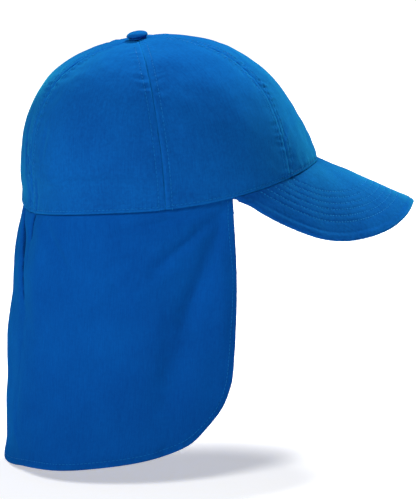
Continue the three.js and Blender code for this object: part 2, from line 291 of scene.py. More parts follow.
def cloth_piece(name, outer, inner, weave, wear_and_shade, material):
    """Closed piece of cloth from the grids of its two sides, which share their border."""
    rows, cols = outer.shape[:2]
    over = np.arange(rows * cols).reshape(rows, cols)
    under = over.copy()
    under[1:-1, 1:-1] = rows * cols + np.arange((rows - 2) * (cols - 2)).reshape(rows - 2, -1)
    lo, hi = slice(None, -1), slice(1, None)
    front = np.stack([over[lo, lo], over[lo, hi], over[hi, hi], over[hi, lo]], -1)
    back = np.stack([under[lo, lo], under[hi, lo], under[hi, hi], under[lo, hi]], -1)
    faces = np.concatenate([front.reshape(-1, 4), back.reshape(-1, 4)])

    def both(values, size):
        return np.concatenate([values.reshape(-1, size), values[1:-1, 1:-1].reshape(-1, size)])

    points = np.concatenate([outer.reshape(-1, 3), inner[1:-1, 1:-1].reshape(-1, 3)])
    mesh = bpy.data.meshes.new(name)
    mesh.from_pydata(points.tolist(), [], faces.tolist())
    mesh.polygons.foreach_set("use_smooth", np.ones(len(faces), bool))
    thread_map = mesh.uv_layers.new(name="weave")
    thread_map.data.foreach_set("uv", both(weave, 2)[faces.ravel()].ravel())
    # Per-point edge rubbing, and painted crease shade where the value is below zero.
    worn_and_shaded = mesh.attributes.new("wear_and_shade", "FLOAT", "POINT")
    worn_and_shaded.data.foreach_set("value", both(wear_and_shade, 1).ravel())
    mesh.materials.append(material)
    piece = bpy.data.objects.new(name, mesh)
    bpy.context.scene.collection.objects.link(piece)
    return piece


def part_of(tree, kind, **settings):
    """New node in a tree. A setting named after a socket fills that socket."""
    node = tree.nodes.new(kind)
    for key, value in settings.items():
        if hasattr(node, key):
            setattr(node, key, value)
        else:
            node.inputs[key.replace("_", " ")].default_value = value
    return node


def group_of(name, kind, inputs, outputs):
    """Empty node group with these named sockets, and its two end nodes."""
    tree = bpy.data.node_groups.new(name, kind)
    for label, socket, value in inputs:
        made = tree.interface.new_socket(label, in_out="INPUT", socket_type=socket)
        if value is not None:
            made.default_value = value
    for label, socket in outputs:
        tree.interface.new_socket(label, in_out="OUTPUT", socket_type=socket)
    return tree, tree.nodes.new("NodeGroupInput"), tree.nodes.new("NodeGroupOutput")


def calculate(tree, operation, first, second=None):
    node = part_of(tree, "ShaderNodeMath", operation=operation)
    for socket, value in zip(node.inputs, (first, second)):
        if isinstance(value, bpy.types.NodeSocket):
            tree.links.new(value, socket)
        elif value is not None:
            socket.default_value = value
    return node.outputs[0]


# Twill weave: steep ridges crossed by the filling threads, with uneven yarn
RIDGE_ACROSS = 0.91
RIDGE_ALONG = 0.42
FILLING_RATE = 1.6
FILLING_SHARE = 0.35
twill, ends_in, ends_out = group_of(
    "twill_weave",
    "ShaderNodeTree",
    [
        ("Map", "NodeSocketVector", None),
        ("Ridge Pitch", "NodeSocketFloat", 0.6 * mm),
        ("Yarn Unevenness", "NodeSocketFloat", 0.35),
    ],
    [("Height", "NodeSocketFloat"), ("Slub", "NodeSocketFloat")],
)
axes = part_of(twill, "ShaderNodeSeparateXYZ")
twill.links.new(ends_in.outputs["Map"], axes.inputs[0])
turns = calculate(twill, "DIVIDE", 2 * math.pi, ends_in.outputs["Ridge Pitch"])
slanted = calculate(twill, "MULTIPLY", axes.outputs["Y"], RIDGE_ALONG)
ridge = calculate(twill, "MULTIPLY", axes.outputs["X"], RIDGE_ACROSS)
ridge = calculate(twill, "ADD", ridge, slanted)
ridge = calculate(twill, "SINE", calculate(twill, "MULTIPLY", ridge, turns))
filling = calculate(twill, "MULTIPLY", axes.outputs["Y"], FILLING_RATE)
filling = calculate(twill, "SINE", calculate(twill, "MULTIPLY", filling, turns))
stretched = part_of(twill, "ShaderNodeMapping", Scale=(1400, 90, 1))
twill.links.new(ends_in.outputs["Map"], stretched.inputs["Vector"])
yarn = part_of(twill, "ShaderNodeTexNoise", Scale=1.0, Detail=2.0)
twill.links.new(stretched.outputs[0], yarn.inputs["Vector"])
slub = calculate(twill, "SUBTRACT", yarn.outputs["Fac"], 0.5)
slub = calculate(twill, "MULTIPLY", slub, ends_in.outputs["Yarn Unevenness"])
weave = calculate(twill, "ADD", ridge, calculate(twill, "MULTIPLY", filling, FILLING_SHARE))
weave = calculate(twill, "ADD", calculate(twill, "MULTIPLY", weave, 0.35), 0.5)
twill.links.new(calculate(twill, "ADD", weave, slub), ends_out.inputs["Height"])
twill.links.new(calculate(twill, "ADD", slub, 0.5), ends_out.inputs["Slub"])

# Rubbed edges and painted crease shade: the dye pales in patches where the cloth turns over a seam or hem,
# and where the value is below zero the same patches paint deep creases darker, as painted shade.
rubbing_and_crease_shade, ends_in, ends_out = group_of(
    "rubbed_edges_and_crease_shade",
    "ShaderNodeTree",
    [
        ("Place", "NodeSocketVector", None),
        ("Wear and Shade", "NodeSocketFloat", 0.0),
        ("Amount", "NodeSocketFloat", 0.3),
    ],
    [("Faded and Shaded", "NodeSocketFloat")],
)
patches = part_of(rubbing_and_crease_shade, "ShaderNodeTexNoise", Scale=160.0, Detail=3.0)
rubbing_and_crease_shade.links.new(ends_in.outputs["Place"], patches.inputs["Vector"])
faded_and_shaded = calculate(rubbing_and_crease_shade, "MULTIPLY", patches.outputs["Fac"], ends_in.outputs["Wear and Shade"])
faded_and_shaded = calculate(rubbing_and_crease_shade, "MULTIPLY", faded_and_shaded, ends_in.outputs["Amount"])
rubbing_and_crease_shade.links.new(faded_and_shaded, ends_out.inputs["Faded and Shaded"])

SHEEN_TINT = (0.05, 0.95, 1.0, 1.0)


def dyed_cotton(name, colour, shade, sheen, flecked):
    """Blue cotton twill: weave, flecks of paler yarn, uneven dye, crumple, edges paled by rubbing, and
    painted shade in deep creases.
    """
    material = bpy.data.materials.new(name)
    material.use_nodes = True
    tree = material.node_tree
    shader = tree.nodes["Principled BSDF"]
    shader.inputs["Sheen Weight"].default_value = sheen
    shader.inputs["Sheen Roughness"].default_value = 0.42
    shader.inputs["Sheen Tint"].default_value = SHEEN_TINT
    shader.inputs["Specular IOR Level"].default_value = 0.0
    cut = part_of(tree, "ShaderNodeUVMap", uv_map="weave")
    place = part_of(tree, "ShaderNodeTexCoord").outputs["Object"]
    # This attribute holds edge rubbing, and painted crease shade where it is below zero.
    worn_and_shaded = part_of(tree, "ShaderNodeAttribute", attribute_name="wear_and_shade")
    cloth = part_of(tree, "ShaderNodeGroup", node_tree=twill)
    tree.links.new(cut.outputs[0], cloth.inputs["Map"])
    edges = part_of(tree, "ShaderNodeGroup", node_tree=rubbing_and_crease_shade)
    tree.links.new(place, edges.inputs["Place"])
    tree.links.new(worn_and_shaded.outputs["Fac"], edges.inputs["Wear and Shade"])
    dye = part_of(tree, "ShaderNodeTexNoise", Scale=28.0, Detail=3.0)
    tree.links.new(place, dye.inputs["Vector"])
    tone = calculate(tree, "MULTIPLY", calculate(tree, "SUBTRACT", dye.outputs["Fac"], 0.5), 0.4)
    tone = calculate(tree, "ADD", tone, cloth.outputs["Slub"])
    tone = calculate(tree, "ADD", tone, calculate(tree, "MULTIPLY", cloth.outputs["Height"], 0.14))
    flecks = part_of(tree, "ShaderNodeTexNoise", Scale=520.0, Detail=3.0)
    tree.links.new(place, flecks.inputs["Vector"])
    fleck = calculate(tree, "MULTIPLY", calculate(tree, "SUBTRACT", flecks.outputs["Fac"], 0.5), flecked)
    tone = calculate(tree, "ADD", tone, fleck)
    tone = calculate(tree, "ADD", tone, edges.outputs["Faded and Shaded"])
    tones = part_of(tree, "ShaderNodeValToRGB")
    # Darkest stop, half the dye's darker tone: only the painted shade in deep creases reaches it.
    tones.color_ramp.elements[0].color = (*[c * 0.5 for c in shade], 1)
    tones.color_ramp.elements[1].color = (*colour, 1)
    tones.color_ramp.elements.new(0.35).color = (*shade, 1)
    tree.links.new(tone, tones.inputs["Fac"])
    tree.links.new(tones.outputs["Color"], shader.inputs["Base Color"])
    rough = calculate(tree, "MULTIPLY", cloth.outputs["Height"], -0.14)
    tree.links.new(calculate(tree, "ADD", rough, 0.84), shader.inputs["Roughness"])
    crumple = part_of(tree, "ShaderNodeTexNoise", Scale=170.0, Detail=4.0)
    tree.links.new(place, crumple.inputs["Vector"])
    soft = part_of(tree, "ShaderNodeBump", Strength=0.35, Distance=0.25 * mm)
    tree.links.new(crumple.outputs["Fac"], soft.inputs["Height"])
    fine = part_of(tree, "ShaderNodeBump", Strength=0.32, Distance=0.08 * mm)
    tree.links.new(cloth.outputs["Height"], fine.inputs["Height"])
    tree.links.new(soft.outputs["Normal"], fine.inputs["Normal"])
    tree.links.new(fine.outputs["Normal"], shader.inputs["Normal"])
    return material


crown_cloth = dyed_cotton("crown_cotton", (0.004, 0.130, 0.49), (0.003, 0.063, 0.29), 0.25, 0.5)


def surface_line(surface, field, level):
    """Points and joining edges where a field over a grid passes a level."""
    known = np.isfinite(field)
    over = np.where(known, field, level) > level
    kinds = []
    for axis in (0, 1):
        first = [slice(None)] * 2
        second = [slice(None)] * 2
        first[axis], second[axis] = slice(None, -1), slice(1, None)
        first, second = tuple(first), tuple(second)
        crossed = (over[first] != over[second]) & known[first] & known[second]
        share = (level - field[first][crossed]) / (field[second][crossed] - field[first][crossed])
        start, end = surface[first][crossed], surface[second][crossed]
        kinds.append((crossed, start + (end - start) * share[:, None]))
    (down, down_points), (along, along_points) = kinds
    down_id = np.full(down.shape, -1)
    down_id[down] = np.arange(down.sum())
    along_id = np.full(along.shape, -1)
    along_id[along] = down.sum() + np.arange(along.sum())
    cell = np.stack([down_id[:, :-1], down_id[:, 1:], along_id[:-1], along_id[1:]], -1)
    cell = np.sort(cell[(cell >= 0).sum(-1) == 2], axis=-1)
    return np.concatenate([down_points, along_points]), cell[:, 2:]


def crown_panel(name, left, right):
    # Rows climb from the rim, close together at the turned edge and its stitching
    spine_climb = np.linspace(0, HOLE_CLIMB, SPINE_STEPS)
    spine = crown_point(np.full(SPINE_STEPS, (left[0] + right[0]) / 2), spine_climb, 0)
    up = run(spine, 0)
    low = np.array([0, 0.05, 0.2, 0.45, 0.75, 1.1, 1.5, 1.9, 2.3, 2.7, 3.2, 3.8, 4.6, 5.4, 6.2, 7, 8]) * mm
    high = np.linspace(9.2 * mm, up[-1] - 0.5 * mm, int(up[-1] / PANEL_ROW_STEP))
    tip = up[-1] - np.array([0.3, 0.1, 0.0]) * mm
    steps = np.interp(np.concatenate([low, high, tip]), up, spine_climb)

    def headings(share, step):
        rough = left[0] + (right[0] - left[0]) * share
        rim = rim_climb(rough)
        climb = rim + (90 - rim) * step / 90
        start, end = seam_heading(left, climb), seam_heading(right, climb)
        return start + (end - start) * share, climb

    # Columns keep their distance from the two seams, and spread evenly between them
    share = np.linspace(0, 1, ACROSS_STEPS)
    heading, climb = headings(share[None, :], steps[:, None])
    width = run(crown_point(heading, climb, 0), 1)
    near = [0, 0.06, 0.2, 0.45, 0.8, 1.2, 1.8, 2.5, 3.1, 3.5, 3.8, 4.2, 4.6, 5, 5.5, 6, 6.5, 7.5, 9]
    near = np.array(near) * mm
    count = int(width[:, -1].max() / PANEL_COLUMN_STEP) - COLUMNS_AT_SEAMS
    grid, gaps = [], []
    for row, step in enumerate(steps):
        full = width[row, -1]
        tight = min(1, full / 2 / NARROW_HALF)
        side = near * tight
        middle = np.linspace(side[-1], full - side[-1], count)[1:-1]
        places = np.concatenate([side, middle, full - side[::-1]])
        grid.append(headings(np.interp(places, width[row], share), step))
        gaps.append(np.minimum(places, full - places) / max(tight, 0.5))
    heading = np.array([h for h, c in grid])[:, ::-1]
    climb = np.array([c for h, c in grid])[:, ::-1]
    gap = np.array(gaps)[:, ::-1]
    base = crown_point(heading, climb, 0)
    rise = run(base, 0)
    normal = crown_outward(heading, climb)

    # Relief: allowances under the cloth, stitches that pull it in, puckers and creases
    seed = PANELS.index(name)
    lumps = unevenness(base, LUMP_SIZE, seed)
    allowance_end = fade(gap, ALLOWANCE - 1.2 * mm, ALLOWANCE + 0.8 * mm)
    relief = ALLOWANCE_RELIEF * fade(gap, 0.4 * mm, 1.4 * mm) * (1 - allowance_end)
    relief -= SEAM_STITCH_PULL * bump(gap, SEAM_STITCH, 0.7 * mm)
    ripple = waves(rise, PUCKER_PITCH, 4 * lumps + seed)
    drawn = 0.6 + 0.6 * unevenness(base, PUCKER_PATCH, seed + 20) - 0.5 * fade(rise, 75 * mm, 105 * mm)
    relief += PUCKER_DEPTH * ripple * bump(gap, 4 * mm, 5 * mm) * np.clip(drawn, 0.1, 1.2)
    relief += RIM_TURN_RELIEF * (1 - fade(rise, RIM_TURN - 0.8 * mm, RIM_TURN + 0.8 * mm))
    relief -= RIM_STITCH_PULL * bump(rise, RIM_STITCH, 0.6 * mm)
    tuck = waves(np.radians(heading) * RIM_MEAN_RADIUS, RIM_TUCK_PITCH, 3 * lumps)
    relief += RIM_TUCK_DEPTH * tuck * bump(rise, 3.5 * mm, 2.6 * mm)
    pressed = CREASE_STRENGTH * creases(CROWN_CREASES, heading, rise)
    relief += pressed + LUMP_HEIGHT * lumps
    relief += CRUMPLE_HEIGHT * unevenness(base, CRUMPLE_SIZE, seed + 40)

    # The two sides of the cloth: a turned edge at rim and hole, a tape inside each seam
    hem_gap = np.minimum(rise, rise[-1] - rise)
    middle_wall = base - normal * (0.5 * CROWN_WALL)
    half = rounded(np.minimum(gap * 1.6, hem_gap), CROWN_WALL)
    settled = fade(np.minimum(gap, hem_gap), 0, 0.5 * mm)
    outer = middle_wall + normal * (half + relief * settled)[..., None]
    tape = TAPE_THICKNESS * (1 - fade(gap, TAPE_HALF - 0.5 * mm, TAPE_HALF)) * fade(hem_gap, 0, 1.5 * mm)
    half = rounded(hem_gap, CROWN_WALL) + tape - 0.5 * relief * fade(hem_gap, 0, 2 * mm)
    inner = middle_wall - normal * half[..., None]
    across = run(base, 1)
    weave_map = np.stack([across - across[:, [across.shape[1] // 2]], rise], -1)
    wear_and_shade = np.clip(bump(gap, 0.4 * mm, 0.9 * mm) + bump(rise, 0.3 * mm, 1.2 * mm), 0, 1)
    # Painted shade: the deep creases are painted darker, which takes this value below zero.
    wear_and_shade = wear_and_shade - painted_crease_shade(pressed)
    panel = cloth_piece(name + "_cloth", outer, inner, weave_map, wear_and_shade, crown_cloth)
    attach(panel, "root")
    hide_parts(name)
    return outer, gap, rise


panel_grids = [crown_panel(name, SEAMS[i], SEAMS[i + 1]) for i, name in enumerate(PANELS)]

# Stitching of the crown
# Lockstitch in a thread of the cloth's own blue: one row each side of every seam, and
# one row round the turned-up edge. The thread lies half sunk in the cloth.
STITCH_PITCH = 2.7 * mm
THREAD_WIDTH = 0.5 * mm
THREAD_LIFT = 0.10 * mm
ROWS_END_BELOW_TOP = 16 * mm


def thread(name, colour):
    material = bpy.data.materials.new(name)
    material.use_nodes = True
    tree = material.node_tree
    shader = tree.nodes["Principled BSDF"]
    shader.inputs["Specular IOR Level"].default_value = 0.05
    place = part_of(tree, "ShaderNodeTexCoord").outputs["Object"]
    plies = part_of(tree, "ShaderNodeTexNoise", Scale=2600.0, Detail=2.0)
    tree.links.new(place, plies.inputs["Vector"])
    tones = part_of(tree, "ShaderNodeValToRGB")
    tones.color_ramp.elements[0].color = (*[c * 0.7 for c in colour], 1)
    tones.color_ramp.elements[1].color = (*[min(1, c * 1.35) for c in colour], 1)
    tree.links.new(plies.outputs["Fac"], tones.inputs["Fac"])
    tree.links.new(tones.outputs["Color"], shader.inputs["Base Color"])
    rough = calculate(tree, "ADD", calculate(tree, "MULTIPLY", plies.outputs["Fac"], 0.2), 0.42)
    tree.links.new(rough, shader.inputs["Roughness"])
    twist = part_of(tree, "ShaderNodeBump", Strength=0.5, Distance=0.05 * mm)
    tree.links.new(plies.outputs["Fac"], twist.inputs["Height"])
    tree.links.new(twist.outputs["Normal"], shader.inputs["Normal"])
    return material


blue_thread = thread("blue_thread", (0.004, 0.15, 0.46))

# Stitches along lines on the cloth, each a spindle of thread with its ends pulled in
stitching, ends_in, ends_out = group_of(
    "stitch_rows",
    "GeometryNodeTree",
    [
        ("Lines", "NodeSocketGeometry", None),
        ("Pitch", "NodeSocketFloat", STITCH_PITCH),
        ("Gap", "NodeSocketFloat", 0.6 * mm),
        ("Thread Width", "NodeSocketFloat", THREAD_WIDTH),
        ("Seed", "NodeSocketInt", 3),
        ("Thread", "NodeSocketMaterial", None),
    ],
    [("Stitches", "NodeSocketGeometry")],
)
rows_of = part_of(stitching, "GeometryNodeMeshToCurve")
stitching.links.new(ends_in.outputs["Lines"], rows_of.inputs[0])
places = part_of(stitching, "GeometryNodeCurveToPoints", mode="LENGTH")
stitching.links.new(rows_of.outputs[0], places.inputs["Curve"])
stitching.links.new(ends_in.outputs["Pitch"], places.inputs["Length"])
spindle = part_of(stitching, "GeometryNodeMeshUVSphere", Segments=6, Rings=5, Radius=0.5)
length = calculate(stitching, "SUBTRACT", ends_in.outputs["Pitch"], ends_in.outputs["Gap"])
size = part_of(stitching, "ShaderNodeCombineXYZ")
stitching.links.new(ends_in.outputs["Thread Width"], size.inputs["X"])
stitching.links.new(ends_in.outputs["Thread Width"], size.inputs["Y"])
stitching.links.new(length, size.inputs["Z"])
sized = part_of(stitching, "GeometryNodeTransform")
stitching.links.new(spindle.outputs["Mesh"], sized.inputs["Geometry"])
stitching.links.new(size.outputs[0], sized.inputs["Scale"])
tension = part_of(stitching, "FunctionNodeRandomValue", data_type="FLOAT")
tension.inputs[2].default_value = 0.85
tension.inputs[3].default_value = 1.1
stitching.links.new(ends_in.outputs["Seed"], tension.inputs["Seed"])
sewn = part_of(stitching, "GeometryNodeInstanceOnPoints")
stitching.links.new(places.outputs["Points"], sewn.inputs["Points"])
stitching.links.new(places.outputs["Rotation"], sewn.inputs["Rotation"])
stitching.links.new(sized.outputs[0], sewn.inputs["Instance"])
stitching.links.new(tension.outputs[1], sewn.inputs["Scale"])
real = part_of(stitching, "GeometryNodeRealizeInstances")
stitching.links.new(sewn.outputs[0], real.inputs[0])
smooth = part_of(stitching, "GeometryNodeSetShadeSmooth")
stitching.links.new(real.outputs[0], smooth.inputs["Geometry"])
coloured = part_of(stitching, "GeometryNodeSetMaterial")
stitching.links.new(smooth.outputs[0], coloured.inputs["Geometry"])
stitching.links.new(ends_in.outputs["Thread"], coloured.inputs["Material"])
stitching.links.new(coloured.outputs[0], ends_out.inputs["Stitches"])


def stitch(name, lines, slot, **values):
    """One piece with every stitch along these surface lines."""
    points, edges, count = [], [], 0
    for line_points, line_edges in lines:
        points.append(line_points)
        edges.append(line_edges + count)
        count += len(line_points)
    mesh = bpy.data.meshes.new(name)
    mesh.from_pydata(np.concatenate(points).tolist(), np.concatenate(edges).tolist(), [])
    piece = bpy.data.objects.new(name, mesh)
    bpy.context.scene.collection.objects.link(piece)
    modifier = piece.modifiers.new("stitch rows", "NODES")
    modifier.node_group = stitching
    values = {"Thread": blue_thread, **values}
    for item in stitching.interface.items_tree:
        if item.in_out == "INPUT" and item.name in values:
            modifier[item.identifier] = values[item.name]
    view_layer = bpy.context.evaluated_depsgraph_get()
    made = bpy.data.meshes.new_from_object(piece.evaluated_get(view_layer))
    piece.modifiers.remove(modifier)
    piece.data = made
    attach(piece, "root")
    return piece


seam_rows, rim_rows = [], []
for outer, gap, rise in panel_grids:
    lifted = outer + outward(outer) * THREAD_LIFT
    room = (rise > 0.4 * mm) & (rise[-1] - rise > ROWS_END_BELOW_TOP)
    seam_rows.append(surface_line(lifted, np.where(room, gap, np.nan), SEAM_STITCH))
    rim_rows.append(surface_line(lifted, rise, RIM_STITCH))
stitch("crown_seam_stitching", seam_rows, "crown_cloth", Seed=3)
stitch("crown_rim_stitching", rim_rows, "crown_cloth", Seed=4)

# Top button
# A metal button covered with the crown's cotton, which is gathered under its edge. Its
# shank passes through the hole where the panels meet, to a small disc inside.
BUTTON_RADIUS = 7 * mm
DOME_HEIGHT = 3.4 * mm
COLLAR_RADIUS = 6 * mm
COLLAR_HEIGHT = 1.4 * mm
SHANK_RADIUS = 1.6 * mm
DISC_RADIUS = 4.5 * mm
DISC_HEIGHT = 1.2 * mm
SEAM_GAP = 0.3 * mm
TUCK_GAP = 0.6 * mm
BUTTON_SIDES = 72
BUTTON_GATHERS = 17
GATHER_SHARE = 0.022
BUTTON_LUMPS = 0.14 * mm

disc_top = -CROWN_WALL - 2 * TUCK_GAP - SEAM_GAP
profile = [
    (0.0, disc_top - DISC_HEIGHT),
    (DISC_RADIUS * 0.8, disc_top - DISC_HEIGHT),
    (DISC_RADIUS * 0.97, disc_top - DISC_HEIGHT * 0.8),
    (DISC_RADIUS, disc_top - DISC_HEIGHT * 0.5),
    (DISC_RADIUS * 0.97, disc_top - DISC_HEIGHT * 0.2),
    (DISC_RADIUS * 0.8, disc_top),
    (SHANK_RADIUS * 1.3, disc_top),
    (SHANK_RADIUS, disc_top + 0.3 * mm),
    (SHANK_RADIUS, -0.4 * mm),
    (SHANK_RADIUS * 1.4, 0.0),
    (COLLAR_RADIUS * 0.9, 0.02 * mm),
    (COLLAR_RADIUS, 0.2 * mm),
    (COLLAR_RADIUS * 0.96, COLLAR_HEIGHT * 0.7),
    (COLLAR_RADIUS * 0.98, COLLAR_HEIGHT),
    (BUTTON_RADIUS * 0.92, COLLAR_HEIGHT + 0.15 * mm),
    (BUTTON_RADIUS * 0.97, COLLAR_HEIGHT + 0.45 * mm),
]
for climb in np.linspace(0, 90, 19)[:-1]:
    a = math.radians(climb)
    edge = BUTTON_RADIUS * math.cos(a) ** 0.55
    profile.append((edge, COLLAR_HEIGHT + DOME_HEIGHT * (0.3 + 0.7 * math.sin(a) ** 1.05)))
profile.append((0.0, COLLAR_HEIGHT + DOME_HEIGHT))
rim_of_button = np.array([r for r, z in profile])
level_of_button = np.array([z for r, z in profile])
angle = np.arange(BUTTON_SIDES) * 2 * np.pi / BUTTON_SIDES
gathered = bump(level_of_button, COLLAR_HEIGHT + 0.2 * mm, 0.9 * mm)[:, None]
gather = gathered * np.sin(BUTTON_GATHERS * angle + 0.8 * np.sin(3 * angle))
radius = rim_of_button[:, None] * (1 + GATHER_SHARE * gather)
level = np.broadcast_to(level_of_button[:, None], radius.shape)
dome = np.stack([radius * np.cos(angle), radius * np.sin(angle), level], -1)
sag = BUTTON_LUMPS * unevenness(dome, 9 * mm, 61) * (rim_of_button > 2 * mm)[:, None]
dome[..., 2] += sag * (level_of_button > 0.6 * mm)[:, None]
seat = tipped(-APEX_BACK, np.float64(0), CROWN_HEIGHT + SEAM_GAP)
c, s = math.cos(TIP_BACK), math.sin(TIP_BACK)
turned = np.stack(
    [dome[..., 0], dome[..., 1] * c + dome[..., 2] * s, dome[..., 2] * c - dome[..., 1] * s], -1
) + seat
ring = np.arange(len(profile) * BUTTON_SIDES).reshape(len(profile), BUTTON_SIDES)
beside = np.roll(ring, -1, axis=1)
faces = np.stack([ring[1:-2], beside[1:-2], beside[2:-1], ring[2:-1]], -1).reshape(-1, 4).tolist()
faces += [[int(ring[0, 0]), int(b), int(a)] for a, b in zip(ring[1], beside[1])]
faces += [[int(ring[-1, 0]), int(a), int(b)] for a, b in zip(ring[-2], beside[-2])]
points = turned.reshape(-1, 3)
used = sorted({i for face in faces for i in face})
renumber = {old: new for new, old in enumerate(used)}
faces = [[renumber[i] for i in face] for face in faces]
mesh = bpy.data.meshes.new("top_button_cloth")
mesh.from_pydata(points[used].tolist(), [], faces)
mesh.polygons.foreach_set("use_smooth", np.ones(len(faces), bool))
flat_map = mesh.uv_layers.new(name="weave")
loops = np.concatenate([np.array(face) for face in faces])
flat_map.data.foreach_set("uv", dome.reshape(-1, 3)[used][loops][:, :2].ravel())
worn_and_shaded = mesh.attributes.new("wear_and_shade", "FLOAT", "POINT")
worn_and_shaded.data.foreach_set("value", 0.6 * bump(level.reshape(-1)[used], 2.8 * mm, 0.8 * mm))
mesh.materials.append(crown_cloth)
button = bpy.data.objects.new("top_button_cloth", mesh)
bpy.context.scene.collection.objects.link(button)
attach(button, "root")
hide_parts("top_button")

# Peak
# A curved board between two layers of the same cotton, joined round the edge. Rows of
# stitching run parallel to the edge and quilt the cloth to the board.
PEAK_WALL = 2.8 * mm
PEAK_REACH = 168 * mm
PEAK_HALF_WIDTH = 90 * mm
PEAK_DROP = 32.5 * mm
PEAK_TAB = 2.4 * mm
PEAK_TAB_TURN = 0.9 * mm
PEAK_BOW = 0.4 * mm
PEAK_BOW_REACH = 40 * mm
PEAK_EDGE_ROLL = 0.8 * mm
PEAK_RIM_LENGTH = 161 * mm
PEAK_MEAN_RADIUS = 120 * mm
PEAK_END = 82.1
PEAK_THINS_FROM = 74
PEAK_THINS_BY = 0.6
LEFT_EDGE_RAISE = 4.1 * mm
LEFT_RAISE_HEADING = -50
LEFT_RAISE_WIDTH = 16
QUILT_DEPTH = 0.22 * mm
QUILT_WIDTH = 0.75 * mm
QUILT_RIPPLE_PITCH = 4.8 * mm
QUILT_RIPPLE_DEPTH = 0.07 * mm
PEAK_LUMPS = 0.16 * mm
PEAK_WELT = 0.22 * mm
PEAK_WELT_PULL = 0.15 * mm
QUILT_THREAD_LIFT = 0.08 * mm
PEAK_ROWS_FROM = 12.9 * mm
PEAK_ROWS_APART = 4.5 * mm
PEAK_ROWS = 6

# Edge of the peak by heading of the rim, as shares of its reach, half width and drop
PEAK_STATIONS = {
    "heading": [0, 12, 18, 24, 30, 38, 45, 53, 59, 65, 70, 74.5, 78, 82.1],
    "reach": [1.0, 0.983, 0.94, 0.873, 0.784, 0.675, 0.579, 0.488, 0.399, 0.31, 0.223, 0.15, 0.1, 0.042],
    "side": [0.0, 0.33, 0.478, 0.622, 0.739, 0.833, 0.889, 0.933, 0.967, 0.985, 0.995, 0.998, 0.99, 0.97],
    "drop": [0.57, 0.575, 0.6, 0.73, 0.885, 0.985, 1.02, 0.99, 0.89, 0.72, 0.51, 0.3, 0.15, 0.03],
}


def reach_to(points, line):
    """Distance of each point to the nearest point of a finely stepped line."""
    flat = points.reshape(-1, 3)
    nearest = np.empty(len(flat))
    for start in range(0, len(flat), 2000):
        gaps = flat[start:start + 2000, None] - line[None]
        nearest[start:start + 2000] = np.sqrt((gaps ** 2).sum(-1).min(1))
    return nearest.reshape(points.shape[:-1])


def finely(line, step):
    """A line of points, stepped evenly."""
    length = run(line, 0)
    at = np.linspace(0, length[-1], int(length[-1] / step) + 2)
    return np.stack([np.interp(at, length, line[:, k]) for k in range(3)], -1)


end_steps = np.array([0, 0.06, 0.2, 0.5, 0.9, 1.4]) * mm / PEAK_RIM_LENGTH
turn_share = np.concatenate([end_steps, np.linspace(0.012, 0.988, 400), 1 - end_steps[::-1]])
heading = PEAK_END * (1 - 2 * turn_share)
edge_line = np.stack(
    [
        -np.sign(heading) * PEAK_HALF_WIDTH * follow(PEAK_STATIONS, "heading", "side", np.abs(heading)),
        -PEAK_REACH * follow(PEAK_STATIONS, "heading", "reach", np.abs(heading)),
        -PEAK_DROP * follow(PEAK_STATIONS, "heading", "drop", np.abs(heading)),
    ],
    -1,
)
rim_line = crown_point(heading, rim_climb(heading), 0) - [0, 0, SEAM_GAP]
tab_line = crown_point(heading, rim_climb(heading), -PEAK_TAB)
tab_line[:, 2] += PEAK_TAB_TURN - SEAM_GAP
edge_steps = np.array([0, 0.0012, 0.0045, 0.01, 0.018])
share = np.concatenate([1 - edge_steps, np.linspace(0.97, 0, 82)])[:, None]
edge_line[:, 2] += LEFT_EDGE_RAISE * bump(heading, LEFT_RAISE_HEADING, LEFT_RAISE_WIDTH)
ruling = edge_line - rim_line
edge_line = edge_line + ruling / np.linalg.norm(ruling, axis=-1, keepdims=True) * PEAK_EDGE_ROLL
bow = PEAK_BOW * np.clip(np.linalg.norm(edge_line - rim_line, axis=-1) / PEAK_BOW_REACH, 0, 1)
top = rim_line + (edge_line - rim_line) * share[..., None]
top[..., 2] += bow * np.sin(np.pi * share)
tab = [rim_line + (tab_line - rim_line) * t for t in (0.35, 0.8, 1.0)]
base = np.concatenate([top, np.array(tab)])
normal = outward(base)
border = np.concatenate([base[::-1, 0], base[0], base[:, -1]])
to_border = reach_to(base, finely(border, 0.4 * mm))
to_edge = reach_to(base, finely(base[0], 0.4 * mm))
to_border[0] = 0
to_border[:, 0] = to_border[:, -1] = 0
to_tab = reach_to(base, finely(base[-1], 0.4 * mm))
to_tab[-1] = 0
row_levels = PEAK_ROWS_FROM + PEAK_ROWS_APART * np.arange(PEAK_ROWS)
quilted = sum(bump(to_edge, level, QUILT_WIDTH) for level in row_levels)
round_peak = np.radians(heading)[None] * PEAK_MEAN_RADIUS
slip = waves(round_peak, QUILT_RIPPLE_PITCH, 2 * unevenness(base, 30 * mm, 71))
relief = -QUILT_DEPTH * quilted + QUILT_RIPPLE_DEPTH * slip * np.clip(quilted * 2, 0, 1)
relief += PEAK_LUMPS * unevenness(base, 26 * mm, 72) + PEAK_WELT * bump(to_edge, 3.0 * mm, 1.6 * mm)
relief -= PEAK_WELT_PULL * bump(to_edge, 5.4 * mm, 1.0 * mm)
cloth_gap = np.minimum(to_border, to_tab)
settled = fade(cloth_gap, 0.2 * mm, 2.4 * mm)
thinned = 1 - PEAK_THINS_BY * fade(np.abs(heading), PEAK_THINS_FROM, PEAK_END)
middle_wall = base - normal * (0.5 * PEAK_WALL * thinned)[..., None]
half = rounded(cloth_gap, PEAK_WALL, 3) * thinned
outer = middle_wall + normal * (half + relief * settled)[..., None]
inner = middle_wall - normal * (half + 0.8 * relief * settled)[..., None]
weave_map = np.stack([base[..., 0], -base[..., 1] - base[..., 2] * 0.2], -1)
wear_and_shade = np.clip(bump(to_border, 0.8 * mm, 1.8 * mm), 0, 1)
